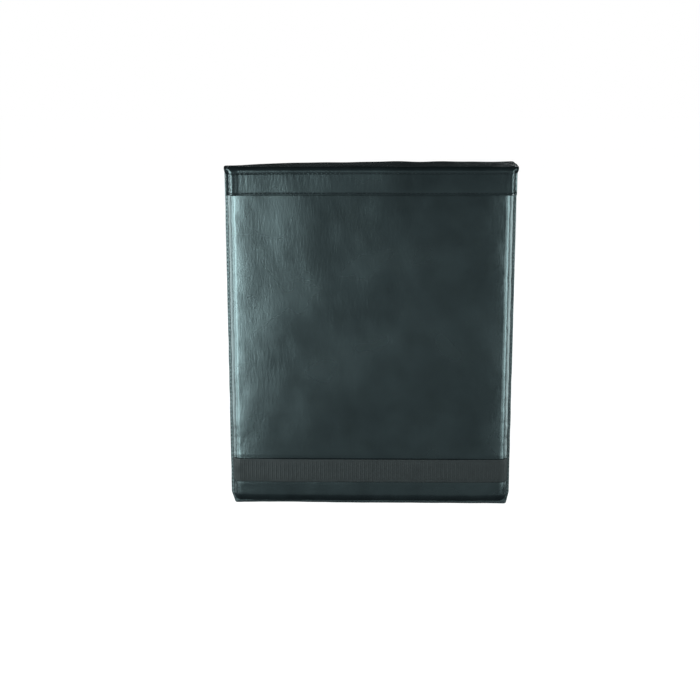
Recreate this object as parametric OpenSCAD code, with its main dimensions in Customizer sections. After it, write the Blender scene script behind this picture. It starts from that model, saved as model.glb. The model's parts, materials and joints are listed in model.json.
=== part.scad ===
// Trainer belly pad: a stitched leather cover round a pocket of layered foam, closed by a lip that hangs from
// its top, with a waist belt and a two-part neck strap folded flat against its back.
// Millimetres. +Z is up, -Y is the struck face, and the pad stands on its two bottom seam lips.

/* [Cover] */
// Width across the side seam lips
overall_w = 350; // [320:1:400]
// Height from the floor to the top
overall_h = 424; // [400:1:470]
// Thickness from the struck face to the wearer's face
pad_t = 76; // [66:1:90]
// Radius that the panels' edges roll back with
edge_r = 11; // [9:1:13]
// Thickness of the synthetic leather
leather_t = 1.2; // [1:0.1:1.4]
// How far a side seam lip stands out
side_lip = 3; // [2:0.5:4]
// How far a bottom seam lip stands down
bottom_lip = 4; // [3:0.5:5]
// Corner radius of the seam lips
lip_corner = 10; // [8:1:12]

/* [Lip] */
// How far the lip reaches down from the top over the struck face
lip_drop = 34; // [32:1:45]
// Height of the hook and the loop tape
tape_h = 25; // [20:1:25]
// Length of the hook and the loop tape
tape_l = 320; // [250:1:322]
// Thickness of one tape
tape_t = 1.2; // [1:0.1:1.4]

/* [Foam] */
// Thickness of the dense layer behind the struck face
strike_t = 18; // [14:1:22]
// Thickness of the soft layer against the wearer
comfort_t = 18; // [14:1:22]

/* [Webbing] */
// Width of the front band and the waist belt
belt_w = 30; // [25:1:32]
// Thickness of the belt webbing
belt_t = 1.6; // [1.4:0.1:1.8]
// Height of the belt's lower edge above the floor
belt_z = 31.5; // [30:0.5:45]
// Width of the neck straps
neck_w = 25; // [20:1:28]
// Thickness of the neck webbing
neck_t = 1.4; // [1.2:0.1:1.6]
// Distance of each neck strap from the middle
neck_x = 105; // [90:1:125]
// Length of a neck strap from its fold to its buckle
neck_l = 280; // [240:1:285]

/* [Buckles] */
// Length of a plug's or a socket's body from its bar
buckle_l = 38; // [36:1:42]
// Thickness of the waist buckle
belt_buckle_t = 10; // [9:0.5:10]
// Thickness of the neck buckle
neck_buckle_t = 9; // [8:0.5:9]

/* [Hidden] */
$fn = 48;
HULL_FN = 32;

// Space kept between soft pieces that lie together, and between pieces that move on each other
lay_gap = 0.3;
run_gap = 0.4;

// Cover
half_w = overall_w / 2 - side_lip;
face_y = pad_t / 2;
seam_y = face_y - edge_r;
corner_x = half_w - edge_r;
corner_z = bottom_lip + edge_r;
panel_drop = 4;
foam_drop = 3.2;
panel_top = overall_h - panel_drop;
foam_top = overall_h - foam_drop;
foam_inset = leather_t + lay_gap;

// The top panel folds down over the front, and the lip hangs from that fold, held by the two tapes
flap_t = 2 * leather_t;
flap_side_gap = 0.5;
flap_w = 2 * (half_w - flap_side_gap);
lip_in_y = face_y + 2 * tape_t;
lip_out_y = lip_in_y + flap_t;
fold_drop = 6.1;
fold_gap = 0.6;
tape_margin = 0.2;
lip_top = overall_h - fold_drop - fold_gap;
tape_z = lip_top - tape_margin - tape_h;

// Back harness: every bar's axis stands the same distance behind the wearer's face
bar_stand = 5.3;
bar_y = face_y + bar_stand;
belt_bar_r = 2;
neck_bar_r = 1.8;
belt_loop_r = belt_bar_r + lay_gap + belt_t / 2;
neck_loop_r = neck_bar_r + lay_gap + neck_t / 2;
belt_run_y = bar_y - belt_loop_r;
neck_run_y = bar_y - neck_loop_r;
belt_mid_z = belt_z + belt_w / 2;
plug_bar_x = 22;
plug_tail = 145;
socket_bar_x = 118;
belt_root_angle = 168;
belt_keeper_x = -60;
neck_drop = 18;
neck_hinge_z = overall_h - neck_drop;
neck_tail = 118;
neck_keeper_rise = 75;
sewn_tail = 42;
patch_w = 45;
patch_h = 50;
patch_drop = 20;
patch_top = overall_h - patch_drop;

// The whole model is moved so that its origin is under the middle of its depth
depth_shift = (lip_out_y - bar_y - belt_buckle_t / 2) / 2;

LEATHER = "#1d2426";
WEBBING = "#24292a";
FOAM = "#3b4043";
TAPE = "#15181a";
PLASTIC = "#121415";

module place() {
  translate([0, depth_shift, 0]) children();
}

// ---------- Cover ----------

// Outline of the cover, seen from the front, shrunk by inset
module cover_outline(inset, top_z) {
  r = edge_r - inset;
  w = half_w - inset;
  translate([-w, corner_z]) square([2 * w, top_z - corner_z]);
  translate([-corner_x, bottom_lip + inset]) square([2 * corner_x, edge_r]);
  for (s = [-1, 1]) translate([s * corner_x, corner_z]) circle(r);
}

// Outline of the seam lips' outer edge
module lip_outline() {
  w = overall_w / 2;
  translate([-w, lip_corner]) square([overall_w, panel_top - lip_corner]);
  translate([lip_corner - w, 0]) square([overall_w - 2 * lip_corner, lip_corner]);
  for (s = [-1, 1]) translate([s * (w - lip_corner), lip_corner]) circle(lip_corner);
}

// A flat layer from y0 to y1 of an outline drawn in X and Z
module layer(y0, y1) {
  translate([0, y1, 0]) rotate([90, 0, 0]) linear_extrude(y1 - y0) children();
}

// The rolled edge of a panel, solid, in front of the seam plane
module rolled_solid(inset, top_z) {
  r = edge_r - inset;
  intersection() {
    hull() for (s = [-1, 1]) translate([s * corner_x, -seam_y, corner_z]) {
      sphere(r, $fn = HULL_FN);
      cylinder(r = r, h = top_z - corner_z, $fn = HULL_FN);
    }
    translate([-overall_w, -seam_y - 2 * edge_r, -1]) cube([2 * overall_w, 2 * edge_r, top_z + 2]);
  }
}

module seam_lip(y0, y1) {
  layer(y0, y1) difference() {
    lip_outline();
    cover_outline(leather_t, overall_h);
  }
}

// A panel with its rolled edge and its half of the seam lip, drawn as the front one
module rolled_panel() {
  color(LEATHER) {
    difference() {
      rolled_solid(0, panel_top);
      rolled_solid(leather_t, overall_h);
    }
    seam_lip(-seam_y - leather_t, -seam_y);
  }
}

module front_panel() {
  place() rolled_panel();
}

module back_panel() {
  place() mirror([0, 1, 0]) rolled_panel();
}

// The strip between the seams, with its turned-out edges, kept between x0 and x1
module gusset_strip(x0, x1) {
  place() color(LEATHER) intersection() {
    union() {
      layer(-seam_y, seam_y) difference() {
        cover_outline(0, panel_top);
        cover_outline(leather_t, overall_h);
      }
      seam_lip(-seam_y, -seam_y + leather_t);
      seam_lip(seam_y - leather_t, seam_y);
    }
    translate([x0, -pad_t, -1]) cube([x1 - x0, 2 * pad_t, overall_h + 2]);
  }
}

module left_gusset() {
  gusset_strip(-overall_w, -corner_x);
}

module right_gusset() {
  gusset_strip(corner_x, overall_w);
}

module bottom_gusset() {
  gusset_strip(-corner_x, corner_x);
}

// ---------- Foam ----------

// A foam layer that fills a rolled panel and reaches thickness t behind it, drawn as the front one
module rolled_foam(t) {
  color(FOAM) {
    rolled_solid(foam_inset, foam_top);
    layer(-seam_y, t - face_y) cover_outline(foam_inset, foam_top);
  }
}

module foam_strike_layer() {
  place() rolled_foam(strike_t);
}

module foam_core_layer() {
  place() color(FOAM)
    layer(strike_t - face_y, face_y - comfort_t) cover_outline(foam_inset, foam_top);
}

module foam_comfort_layer() {
  place() mirror([0, 1, 0]) rolled_foam(comfort_t);
}

// ---------- Flap and its closure ----------

// A tape lying across the front panel, tape_t thick, its back at y
module closing_tape(y) {
  place() color(TAPE)
    translate([-tape_l / 2, y - tape_t, tape_z]) cube([tape_l, tape_t, tape_h]);
}

module loop_tape() {
  closing_tape(-face_y);
}

module hook_tape() {
  closing_tape(-face_y - tape_t);
}

// The leather over the top, from the back seam to the fold that the lip hangs from
module top_panel() {
  place() color(LEATHER)
    translate([-flap_w / 2, 0, overall_h - flap_t]) rotate([90, 0, 90]) linear_extrude(flap_w) {
      translate([flap_t - lip_out_y, 0]) square([face_y + lip_out_y - flap_t, flap_t]);
      translate([-lip_out_y, flap_t - fold_drop]) square([flap_t, fold_drop - flap_t]);
      intersection() {
        translate([flap_t - lip_out_y, 0]) circle(flap_t);
        translate([-lip_out_y, 0]) square([flap_t, flap_t]);
      }
    }
}

module flap_front_lip() {
  place() color(LEATHER)
    translate([-flap_w / 2, -lip_out_y, overall_h - lip_drop])
      cube([flap_w, flap_t, lip_top - overall_h + lip_drop]);
}

// ---------- Webbing ----------

// A straight stretch of strap from p to q, drawn edge on
module run(p, q, t) {
  translate(p) rotate(atan2(q.y - p.y, q.x - p.x)) translate([0, -t / 2]) square([norm(q - p), t]);
}

// A bent stretch of strap about c, middle radius r, from angle a0 to a1, at most 120 degrees apart
module bend(c, r, a0, a1, t) {
  reach = 4 * r;
  mid = (a0 + a1) / 2;
  translate(c) intersection() {
    difference() {
      circle(r + t / 2);
      circle(r - t / 2);
    }
    polygon([[0, 0], reach * [cos(a0), sin(a0)], reach * [cos(mid), sin(mid)], reach * [cos(a1), sin(a1)]]);
  }
}

// A strap that runs out at height 0, turns round a bar at x = l and comes back for tail
module looped_strap(start, l, loop_r, tail, t) {
  slope_l = 8 * loop_r;
  meet = l - slope_l;
  run([start, 0], [l, 0], t);
  bend([l, loop_r], loop_r, -90, 0, t);
  bend([l, loop_r], loop_r, 0, 90, t);
  run([l, 2 * loop_r], [meet, t], t);
  run([meet, t], [l - tail, t], t);
}

module front_webbing_band() {
  r = edge_r + belt_t / 2;
  seam_angle = 188;
  place() color(WEBBING) translate([0, 0, belt_z]) linear_extrude(belt_w) {
    run([-corner_x, -seam_y - r], [corner_x, -seam_y - r], belt_t);
    bend([-corner_x, -seam_y], r, seam_angle, 270, belt_t);
    bend([corner_x, -seam_y], r, 270, 540 - seam_angle, belt_t);
  }
}

// Half of the waist belt, from its seam on the left round the rolled edge to a bar at x = bar_x
module belt_half(bar_x, tail) {
  r = belt_run_y - seam_y;
  place() color(WEBBING) translate([0, 0, belt_z]) linear_extrude(belt_w) {
    bend([-corner_x, seam_y], r, 90, belt_root_angle, belt_t);
    translate([0, belt_run_y]) looped_strap(-corner_x, bar_x, belt_loop_r, tail, belt_t);
  }
}

module waist_strap_long() {
  belt_half(plug_bar_x, plug_tail);
}

module waist_strap_short() {
  mirror([1, 0, 0]) belt_half(-socket_bar_x, sewn_tail);
}

// Places a piece drawn along +X with its width in Z so that it hangs down the back from the neck strap's fold
module hang(x) {
  place() translate([x, 0, neck_hinge_z]) rotate([0, 90, 0]) children();
}

module neck_strap(x, tail) {
  hang(x) color(WEBBING) translate([0, neck_run_y, -neck_w / 2]) linear_extrude(neck_w)
    looped_strap(1, neck_l, neck_loop_r, tail, neck_t);
}

module neck_strap_left() {
  neck_strap(-neck_x, neck_tail);
}

module neck_strap_right() {
  neck_strap(neck_x, sewn_tail);
}

module neck_patch(x) {
  place() color(LEATHER)
    translate([x - patch_w / 2, face_y, patch_top - patch_h]) cube([patch_w, leather_t, patch_h]);
}

module neck_patch_left() {
  neck_patch(-neck_x);
}

module neck_patch_right() {
  neck_patch(neck_x);
}

// An elastic loop round both runs of a strap of width w and thickness t, lying along X
module keeper(w, t) {
  wall = 0.8;
  length = 14;
  gap_z = w / 2 + run_gap;
  low = -t / 2 - run_gap;
  high = 1.5 * t + run_gap;
  difference() {
    translate([0, low - wall, -gap_z - wall]) cube([length, high - low + 2 * wall, 2 * (gap_z + wall)]);
    translate([-1, low, -gap_z]) cube([length + 2, high - low, 2 * gap_z]);
  }
}

module waist_keeper_loop() {
  place() color(TAPE) translate([belt_keeper_x, belt_run_y, belt_mid_z]) keeper(belt_w, belt_t);
}

module neck_keeper_loop() {
  hang(-neck_x) color(TAPE) translate([neck_l - neck_keeper_rise, neck_run_y, 0]) keeper(neck_w, neck_t);
}

// ---------- Buckles, drawn along +X from their bar's axis ----------

BODY_X = 7;
BODY_L = 8;
PRONG_GAP = 0.4;

// The bar that the webbing turns round, and the two cheeks that hold it
module bar_and_cheeks(w, t, bar_r) {
  cheek_w = 4;
  cheek_t = 5;
  cheek_r = 3;
  inner = w / 2 + 1;
  translate([0, 0, -inner - 1]) cylinder(r = bar_r, h = 2 * inner + 2);
  for (s = [-1, 1]) translate([0, 0, s * (inner + cheek_w / 2)]) {
    translate([0, 0, -cheek_w / 2]) cylinder(r = cheek_r, h = cheek_w);
    translate([0, -cheek_t / 2, -cheek_w / 2]) cube([BODY_X + 1, cheek_t, cheek_w]);
  }
}

// The plug without its prongs: bar, body and guide tongue
module plug(w, t, bar_r) {
  shoulder = 5;
  body_t = t - 1;
  tongue_w = 6;
  tongue_t = 3.2;
  color(PLASTIC) {
    bar_and_cheeks(w, t, bar_r);
    translate([BODY_X, -body_t / 2, -w / 2 - shoulder]) cube([BODY_L, body_t, w + 2 * shoulder]);
    translate([BODY_X, -tongue_t / 2, -tongue_w / 2]) cube([buckle_l - 10, tongue_t, tongue_w]);
  }
}

// The upper springing prong of a plug: an arm with a barbed head
module prong(w) {
  root_x = BODY_X + BODY_L + PRONG_GAP;
  root_z = w / 2 - 2;
  tip_x = root_x + buckle_l - BODY_X - BODY_L;
  prong_t = 3.6;
  back_x = tip_x - 13;
  barb_z = root_z + 7.5;
  arm_in = root_z - 3;
  arm_out = root_z + 1;
  color(PLASTIC) translate([0, prong_t / 2, 0]) rotate([90, 0, 0]) linear_extrude(prong_t)
    polygon([
      [root_x, arm_in], [root_x, arm_out], [back_x, arm_out], [back_x, barb_z], [back_x + 4, barb_z],
      [tip_x, root_z], [tip_x, arm_in + 1], [back_x + 1, arm_in]
    ]);
}

// The socket: bar, hollow housing open at its mouth, and a window for each prong's head
module socket(w, t, bar_r) {
  wall = 1.8;
  outer = w / 2 + 6;
  inner = w / 2 + 3.8;
  hollow_x = BODY_X + 3;
  window_x = hollow_x + 4;
  window_l = 14;
  color(PLASTIC) {
    bar_and_cheeks(w, t, bar_r);
    difference() {
      translate([BODY_X, -t / 2, -outer]) cube([buckle_l - BODY_X, t, 2 * outer]);
      translate([hollow_x, wall - t / 2, -inner]) cube([buckle_l, t - 2 * wall, 2 * inner]);
      translate([window_x, wall - t / 2, -outer - 1]) cube([window_l, t - 2 * wall, 2 * outer + 2]);
    }
  }
}

module at_waist_plug() {
  place() translate([plug_bar_x, bar_y, belt_mid_z]) children();
}

module at_neck_plug() {
  hang(-neck_x) translate([neck_l, bar_y, 0]) children();
}

module waist_buckle_plug() {
  at_waist_plug() plug(belt_w, belt_buckle_t, belt_bar_r);
}

module waist_prong_upper() {
  at_waist_plug() prong(belt_w);
}

module waist_prong_lower() {
  at_waist_plug() mirror([0, 0, 1]) prong(belt_w);
}

module waist_buckle_socket() {
  place() translate([socket_bar_x, bar_y, belt_mid_z]) mirror([1, 0, 0])
    socket(belt_w, belt_buckle_t, belt_bar_r);
}

module neck_buckle_plug() {
  at_neck_plug() plug(neck_w, neck_buckle_t, neck_bar_r);
}

module neck_prong_left() {
  at_neck_plug() mirror([0, 0, 1]) prong(neck_w);
}

module neck_prong_right() {
  at_neck_plug() prong(neck_w);
}

module neck_buckle_socket() {
  hang(neck_x) translate([neck_l, bar_y, 0]) socket(neck_w, neck_buckle_t, neck_bar_r);
}

front_panel();
back_panel();
left_gusset();
right_gusset();
bottom_gusset();
foam_strike_layer();
foam_core_layer();
foam_comfort_layer();
loop_tape();
front_webbing_band();
neck_patch_left();
neck_patch_right();
top_panel();
flap_front_lip();
hook_tape();
waist_strap_long();
waist_keeper_loop();
waist_buckle_plug();
waist_prong_upper();
waist_prong_lower();
waist_strap_short();
waist_buckle_socket();
neck_strap_left();
neck_keeper_loop();
neck_buckle_plug();
neck_prong_left();
neck_prong_right();
neck_strap_right();
neck_buckle_socket();
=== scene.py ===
"""The looks of a trainer belly pad: stitched leather cover, webbing, harness, buckles and foam."""

import json
import math

import bpy
import numpy as np
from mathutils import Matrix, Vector


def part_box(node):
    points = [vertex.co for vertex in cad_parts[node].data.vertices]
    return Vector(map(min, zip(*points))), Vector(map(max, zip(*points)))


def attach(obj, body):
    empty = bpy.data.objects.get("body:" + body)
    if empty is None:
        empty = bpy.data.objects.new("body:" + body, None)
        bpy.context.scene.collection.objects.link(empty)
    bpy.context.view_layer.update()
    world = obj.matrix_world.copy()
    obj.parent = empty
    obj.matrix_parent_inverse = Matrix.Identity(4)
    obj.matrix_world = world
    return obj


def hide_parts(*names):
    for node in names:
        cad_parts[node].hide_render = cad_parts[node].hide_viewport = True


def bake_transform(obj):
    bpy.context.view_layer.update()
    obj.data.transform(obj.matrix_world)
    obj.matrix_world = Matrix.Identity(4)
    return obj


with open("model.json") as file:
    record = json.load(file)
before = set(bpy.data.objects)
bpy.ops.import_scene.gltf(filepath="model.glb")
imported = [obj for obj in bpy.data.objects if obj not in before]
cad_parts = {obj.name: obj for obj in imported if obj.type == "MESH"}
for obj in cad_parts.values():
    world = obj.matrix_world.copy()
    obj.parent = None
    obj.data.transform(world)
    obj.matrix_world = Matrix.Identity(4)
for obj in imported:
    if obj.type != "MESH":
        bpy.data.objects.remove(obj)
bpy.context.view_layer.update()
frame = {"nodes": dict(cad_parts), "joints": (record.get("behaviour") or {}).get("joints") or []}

# ---------- Sizes, in metres, from the frame ----------

MM = 0.001
SIDE_LIP = 3 * MM
BOTTOM_LIP = 4 * MM
EDGE_R = 11 * MM
LEATHER_T = 1.2 * MM
SEAM_PITCH = 5.1 * MM
ROW_PITCH = 5.4 * MM
RIB_PITCH = 2.5 * MM

FRONT_LO, FRONT_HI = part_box("front_panel")
HALF_W = FRONT_HI.x - SIDE_LIP
PANEL_TOP = FRONT_HI.z
FRONT_Y, BACK_Y = FRONT_LO.y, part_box("back_panel")[1].y
FRONT_SEAM, BACK_SEAM = FRONT_Y + EDGE_R, BACK_Y - EDGE_R
CORNER_X, CORNER_Z = HALF_W - EDGE_R, BOTTOM_LIP + EDGE_R
TOP_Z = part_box("top_panel")[1].z
LIP_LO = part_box("flap_front_lip")[0]
BAND_LO, BAND_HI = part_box("front_webbing_band")


def joint_at(name):
    return Vector(next(j for j in frame["joints"] if j["name"] == name)["pos_m"])


HINGE_Z = joint_at("lip_peel").z


# ---------- Mesh helpers ----------

def smoothstep(t):
    t = np.clip(t, 0, 1)
    return t * t * (3 - 2 * t)


def bump(x, centre, width):
    """A bell of height 1 at centre."""
    return np.exp(-(((x - centre) / width) ** 2))


def unit(vectors):
    return vectors / np.linalg.norm(vectors, axis=-1, keepdims=True)


def flat(x, z):
    """Points on the plane y = 0."""
    return np.stack([x, 0 * x, z], -1)


def ripple(points, wavelength, seed, count=24, stretch=(1, 1, 1)):
    """A smooth random field of unit strength over points, the same on every run."""
    rng = np.random.RandomState(seed)
    p = np.asarray(points, float) / np.array(stretch)
    total = np.zeros(p.shape[:-1])
    for _ in range(count):
        way = rng.normal(size=3)
        way *= 2 * math.pi / wavelength * rng.uniform(0.6, 1.4) / np.linalg.norm(way)
        total += np.sin(p @ way + rng.uniform(0, 2 * math.pi))
    return total / math.sqrt(count / 2)


def mesh_piece(name, verts, faces, material):
    mesh = bpy.data.meshes.new(name)
    mesh.from_pydata(np.asarray(verts).reshape(-1, 3).tolist(), [], faces)
    mesh.polygons.foreach_set("use_smooth", [True] * len(mesh.polygons))
    mesh.materials.append(material)
    mesh.update()
    obj = bpy.data.objects.new(name, mesh)
    bpy.context.scene.collection.objects.link(obj)
    return obj


def quads(nu, nv, start=0, wrap_v=False, flip=False):
    """Faces of a grid of nu by nv points, numbered along v first."""
    u, v = np.meshgrid(np.arange(nu - 1), np.arange(nv if wrap_v else nv - 1), indexing="ij")
    w = (v + 1) % nv
    f = np.stack([u * nv + v, u * nv + w, (u + 1) * nv + w, (u + 1) * nv + v], -1).reshape(-1, 4) + start
    return (f[:, ::-1] if flip else f).tolist()


def grid_normals(p, outward):
    """Unit normals of a grid of points, on the side that outward, one vector, points to."""
    n = np.cross(np.gradient(p, axis=0), np.gradient(p, axis=1))
    n /= np.maximum(np.linalg.norm(n, axis=-1, keepdims=True), 1e-12)
    return n if (n.reshape(-1, 3).mean(0) @ np.array(outward)) > 0 else -n


def thick_sheet(name, outer, normals, thickness, material):
    """A closed sheet: the outer grid, an inner one a thickness behind it, and the rim between them."""
    nu, nv = outer.shape[:2]
    inner = outer - normals * thickness
    made = np.cross(outer[1, 0] - outer[0, 0], outer[0, 1] - outer[0, 0])
    outward = made @ normals[0, 0] < 0
    faces = quads(nu, nv, 0, flip=not outward) + quads(nu, nv, nu * nv, flip=outward)
    edge = [(i, 0) for i in range(nu)] + [(nu - 1, j) for j in range(1, nv)]
    edge += [(i, nv - 1) for i in range(nu - 2, -1, -1)] + [(0, j) for j in range(nv - 2, 0, -1)]
    loop = [i * nv + j for i, j in edge]
    for a, b in zip(loop, loop[1:] + loop[:1]):
        side = [a, b, b + nu * nv, a + nu * nv]
        faces.append(side if not outward else side[::-1])
    return mesh_piece(name, np.concatenate([outer.reshape(-1, 3), inner.reshape(-1, 3)]), faces, material)


def loft(name, rings, material, closed=False):
    """A tube through n closed outlines of m points each, capped unless it closes on itself."""
    rings = np.asarray(rings)
    n, m = rings.shape[:2]
    faces = quads(n, m, wrap_v=True)
    if closed:
        faces += [[(n - 1) * m + j, (n - 1) * m + (j + 1) % m, (j + 1) % m, j] for j in range(m)]
    else:
        faces += [list(range(m)), list(range((n - 1) * m, n * m))[::-1]]
    return faced_out(mesh_piece(name, rings, faces, material))


def faced_out(obj):
    """A closed piece, its faces turned outwards if its volume says that they look in."""
    mesh = obj.data
    mesh.calc_loop_triangles()
    co = np.array([v.co for v in mesh.vertices])
    a, b, c = (co[[t.vertices[k] for t in mesh.loop_triangles]] for k in range(3))
    if (a * np.cross(b, c)).sum() < 0:
        mesh.flip_normals()
    return obj


def arc_points(centre, radius, start, end, count):
    """Points on an arc in a plane, angles in degrees."""
    a = np.radians(np.linspace(start, end, count))
    return np.stack([centre[0] + radius * np.cos(a), centre[1] + radius * np.sin(a)], -1)


def resample(path, step):
    """The path, points in 2-D or 3-D, at even steps, with their distances along it."""
    path = np.asarray(path, float)
    keep = np.append(True, np.linalg.norm(np.diff(path, axis=0), axis=1) > 1e-7)
    path = path[keep]
    s = np.append(0, np.cumsum(np.linalg.norm(np.diff(path, axis=0), axis=1)))
    at = np.linspace(0, s[-1], max(2, int(round(s[-1] / step)) + 1))
    return np.stack([np.interp(at, s, path[:, k]) for k in range(path.shape[1])], -1), at


def line_normals(points):
    """Unit normals of a line of 2-D points, on its right."""
    tangent = unit(np.gradient(points, axis=0))
    return np.stack([tangent[:, 1], -tangent[:, 0]], -1)


def place(obj, body, replaces=()):
    """Gives a piece its body and hides the CAD nodes that it stands for."""
    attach(obj, body)
    if replaces:
        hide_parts(*replaces)
    return obj


def wave(s, pitch):
    """1 at each whole pitch, 0 half way between."""
    return 0.5 + 0.5 * np.cos(2 * math.pi * s / pitch)


def stitch_beat(s, pitch):
    """1 at each needle hole, 0 between them."""
    return wave(s, pitch) ** 4


# ---------- Materials ----------

class Nodes:
    """Short names for building a material's nodes."""

    def __init__(self, name, base, roughness, **sockets):
        self.material = bpy.data.materials.new(name)
        self.material.use_nodes = True
        self.tree = self.material.node_tree
        self.shader = self.tree.nodes["Principled BSDF"]
        self.shader.inputs["Base Color"].default_value = (*base, 1)
        self.shader.inputs["Roughness"].default_value = roughness
        for key, value in sockets.items():
            self.shader.inputs[key.replace("_", " ")].default_value = value
        self.where = self.add("ShaderNodeTexCoord").outputs["Object"]

    def add(self, kind, **values):
        node = self.tree.nodes.new(kind)
        for key, value in values.items():
            setattr(node, key, value)
        return node

    def join(self, a, b):
        self.tree.links.new(a, b)

    def scaled(self, scale):
        node = self.add("ShaderNodeMapping")
        node.inputs["Scale"].default_value = scale
        self.join(self.where, node.inputs["Vector"])
        return node.outputs["Vector"]

    def noise(self, scale, detail=3, rough=0.5, where=None, distortion=0.0):
        node = self.add("ShaderNodeTexNoise")
        node.inputs["Scale"].default_value = scale
        node.inputs["Detail"].default_value = detail
        node.inputs["Roughness"].default_value = rough
        node.inputs["Distortion"].default_value = distortion
        self.join(where or self.where, node.inputs["Vector"])
        return node.outputs["Fac"]

    def cells(self, scale, where=None, randomness=1.0):
        node = self.add("ShaderNodeTexVoronoi")
        node.inputs["Scale"].default_value = scale
        node.inputs["Randomness"].default_value = randomness
        self.join(where or self.where, node.inputs["Vector"])
        return node.outputs["Distance"]

    def remap(self, value, low, high, to_low, to_high):
        node = self.add("ShaderNodeMapRange")
        for key, x in zip(("From Min", "From Max", "To Min", "To Max"), (low, high, to_low, to_high)):
            node.inputs[key].default_value = x
        self.join(value, node.inputs["Value"])
        return node.outputs["Result"]

    def mix_colour(self, factor, a, b):
        node = self.add("ShaderNodeMix", data_type="RGBA")
        node.inputs["A"].default_value = (*a, 1)
        node.inputs["B"].default_value = (*b, 1)
        self.join(factor, node.inputs["Factor"])
        return node.outputs["Result"]

    def bumps(self, *layers):
        """layers are (height, strength, distance in metres), coarse first."""
        normal = None
        for height, strength, distance in layers:
            node = self.add("ShaderNodeBump")
            node.inputs["Strength"].default_value = strength
            node.inputs["Distance"].default_value = distance
            self.join(height, node.inputs["Height"])
            if normal:
                self.join(normal, node.inputs["Normal"])
            normal = node.outputs["Normal"]
        self.join(normal, self.shader.inputs["Normal"])

    def colour(self, socket):
        self.join(socket, self.shader.inputs["Base Color"])

    def roughness(self, socket):
        self.join(socket, self.shader.inputs["Roughness"])


def shade(base, share):
    return tuple(share * c for c in base)


def leather(name, base, specular, low_rough, high_rough, grain=1.0):
    """Black synthetic leather: pebbled grain drawn out a little up and down, with patchy gloss."""
    m = Nodes(name, base, low_rough, Specular_Tint=(0.80, 0.98, 1.0, 1), Specular_IOR_Level=specular)
    drawn = m.scaled((1.0, 1.0, 0.42))
    pebble = m.cells(620, where=drawn)
    pore = m.noise(1500, detail=2, where=drawn)
    brushed = m.noise(430, detail=3, rough=0.6, where=m.scaled((1.0, 1.0, 0.20)))
    soft = m.noise(34, detail=3, rough=0.55)
    broad = m.noise(11, detail=2, rough=0.5, distortion=0.4)
    m.bumps((broad, 0.12, 1.6 * MM), (soft, 0.16, 0.6 * MM), (brushed, 0.42 * grain, 0.22 * MM),
            (pebble, 0.30 * grain, 0.09 * MM), (pore, 0.20 * grain, 0.05 * MM))
    m.roughness(m.remap(broad, 0.3, 0.7, low_rough, high_rough))
    m.colour(m.mix_colour(m.remap(soft, 0.3, 0.7, 0, 1), base, shade(base, 1.7)))
    return m.material


def webbing_material(name, base):
    """Woven polypropylene: fine crossing threads, dull, with a faint sheen."""
    m = Nodes(name, base, 0.62, Sheen_Weight=0.02, Sheen_Roughness=0.4, Specular_IOR_Level=0.16,
              Sheen_Tint=(0.75, 0.95, 1.0, 1))
    thread = m.cells(900)
    fuzz = m.noise(2600, detail=2)
    wear = m.noise(60, detail=4)
    m.bumps((thread, 0.45, 0.18 * MM), (fuzz, 0.35, 0.05 * MM))
    m.roughness(m.remap(wear, 0.3, 0.7, 0.52, 0.74))
    m.colour(m.mix_colour(m.remap(thread, 0.0, 0.7, 0, 1), shade(base, 1.6), shade(base, 0.5)))
    return m.material


def thread_material():
    """Bonded polyester thread with a twist."""
    m = Nodes("stitch_thread", (0.003, 0.004, 0.005), 0.75, Specular_IOR_Level=0.15)
    twist = m.noise(1800, detail=1, where=m.scaled((1.0, 1.0, 0.4)))
    m.bumps((twist, 0.5, 0.1 * MM))
    m.colour(m.mix_colour(twist, (0.001, 0.0015, 0.002), (0.006, 0.008, 0.009)))
    return m.material


def plastic_material():
    """Moulded black nylon with a fine spark-eroded texture."""
    m = Nodes("buckle_nylon", (0.012, 0.013, 0.014), 0.42, Specular_IOR_Level=0.5)
    spark = m.noise(2200, detail=2)
    wear = m.noise(90, detail=3)
    m.bumps((wear, 0.1, 0.4 * MM), (spark, 0.35, 0.04 * MM))
    m.roughness(m.remap(wear, 0.3, 0.7, 0.34, 0.5))
    m.colour(m.mix_colour(wear, (0.010, 0.011, 0.012), (0.017, 0.018, 0.019)))
    return m.material


def foam_material(name, base, pore_scale):
    """Cut foam with open pores, with painted shade in them."""
    m = Nodes(name, base, 0.9, Specular_IOR_Level=0.2)
    pores = m.cells(pore_scale)
    small = m.cells(pore_scale * 2.6)
    m.bumps((pores, 0.8, 0.6 * MM), (small, 0.5, 0.2 * MM))
    # Painted shade: the colour darkens to 0.55 of the base at the pores' pits, as the shade inside their
    # open cells
    m.colour(m.mix_colour(m.remap(pores, 0.0, 0.5, 0, 1), shade(base, 0.55), base))
    return m.material


def tape_material(name, base, scale, regular):
    """Hook or loop tape: rows of hooks, or a nap of loops."""
    m = Nodes(name, base, 0.7, Sheen_Weight=0.5 if not regular else 0.15, Specular_IOR_Level=0.4)
    nap = m.cells(scale, where=m.scaled((1.0, 1.0, 1.25)), randomness=0.15 if regular else 1.0)
    fibre = m.noise(scale * 2.2, detail=3)
    m.bumps((nap, 0.9, 0.5 * MM), (fibre, 0.6, 0.15 * MM))
    m.colour(m.mix_colour(m.remap(nap, 0.0, 0.6, 0, 1), shade(base, 1.7), shade(base, 0.5)))
    return m.material


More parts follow.
